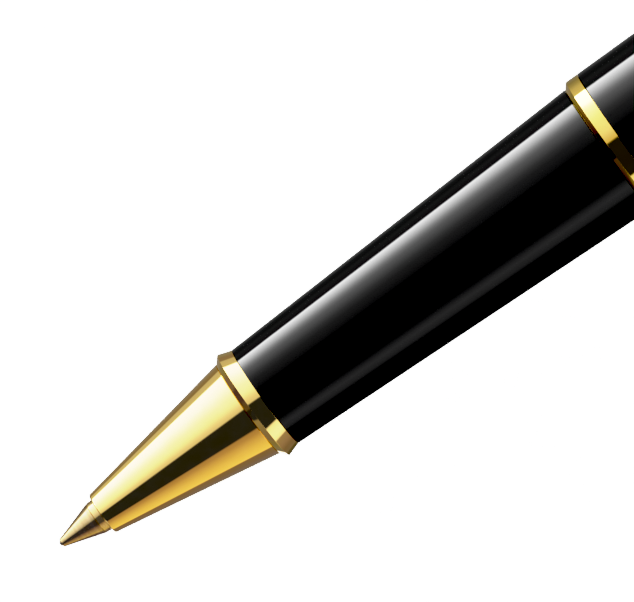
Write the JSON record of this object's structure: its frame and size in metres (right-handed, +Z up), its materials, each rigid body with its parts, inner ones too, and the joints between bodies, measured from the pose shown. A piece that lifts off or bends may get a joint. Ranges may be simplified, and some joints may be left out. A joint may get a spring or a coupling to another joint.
{
  "type": "rollerball pen",
  "caption": "Capped rollerball pen with a tapered metal nose, gold-coloured trim and a black resin body, lying with its cap posted on the tail.",
  "frame": {"origin": "foremost point of the writing ball, on the pen's axis", "axes": "+X along the pen's axis towards the tail, +Z up with the pen lying on a table, the clip leans to -Y and down"},
  "size_m": [0.147, 0.0157, 0.014],
  "materials": {
    "gold_plate": "mirror-polished gold-coloured plating on brass",
    "black_resin": "polished black resin",
    "tip_brass": "fine-turned pale brass, satin",
    "plain_brass": "machined brass",
    "carbide": "ground tungsten carbide",
    "spring_steel": "bright wire",
    "black_plastic": "moulded",
    "refill_plastic": "moulded, smooth",
    "ink_fibre": "bonded fibre soaked with ink"
  },
  "bodies": {
    "section": {"front_cone": "gold_plate", "front_ring": "gold_plate", "grip_section": "black_resin", "section_core": "black_plastic", "section_thread": "plain_brass"},
    "refill": {"writing_ball": "carbide", "refill_tip": "tip_brass", "feed_rod": "ink_fibre", "refill_nose": "refill_plastic", "refill_tube": "refill_plastic", "ink_reservoir": "ink_fibre", "refill_end_plug": "refill_plastic"},
    "trim_ring": {"barrel_trim_ring": "gold_plate"},
    "barrel": {"barrel_bush": "plain_brass", "barrel_shell": "black_resin", "tail_ring": "gold_plate", "tail_plug": "black_resin", "refill_spring": "spring_steel"},
    "cap": {"cap_lip_band": "gold_plate", "cap_thin_ring": "gold_plate", "cap_shell": "black_resin", "inner_cap": "plain_brass", "clip_collar": "gold_plate", "finial": "black_resin"},
    "clip": {"clip_arm": "gold_plate"}
  },
  "joints": [
    {"name": "refill_press", "type": "slide", "parent": "section", "child": "refill", "axis": [1, 0, 0], "range_m": [0, 0.0005], "stiffness_N_per_m": 400, "springref_m": -0.004, "deforming": ["refill_spring"]},
    {"name": "barrel_travel", "type": "slide", "parent": "section", "child": "trim_ring", "axis": [1, 0, 0], "range_m": [0, 0.0046]},
    {"name": "barrel_unscrew", "type": "hinge", "parent": "trim_ring", "child": "barrel", "pos_m": [0.0568, 0, 0], "axis": [1, 0, 0], "range_deg": [0, 1080]},
    {"name": "cap_pull", "type": "slide", "parent": "barrel", "child": "cap", "axis": [1, 0, 0], "range_m": [0, 0.045]},
    {"name": "clip_flex", "type": "hinge", "parent": "cap", "child": "clip", "pos_m": [0.1411, -0.00469, -0.00341], "axis": [0, -0.5879, 0.8089], "range_deg": [0, 4], "stiffness_Nm_per_rad": 5, "springref_deg": -2.86}
  ],
  "couplings": [
    {"joint": "barrel_travel", "follows": "barrel_unscrew", "m_per_rad": 0.00023873}
  ]
}
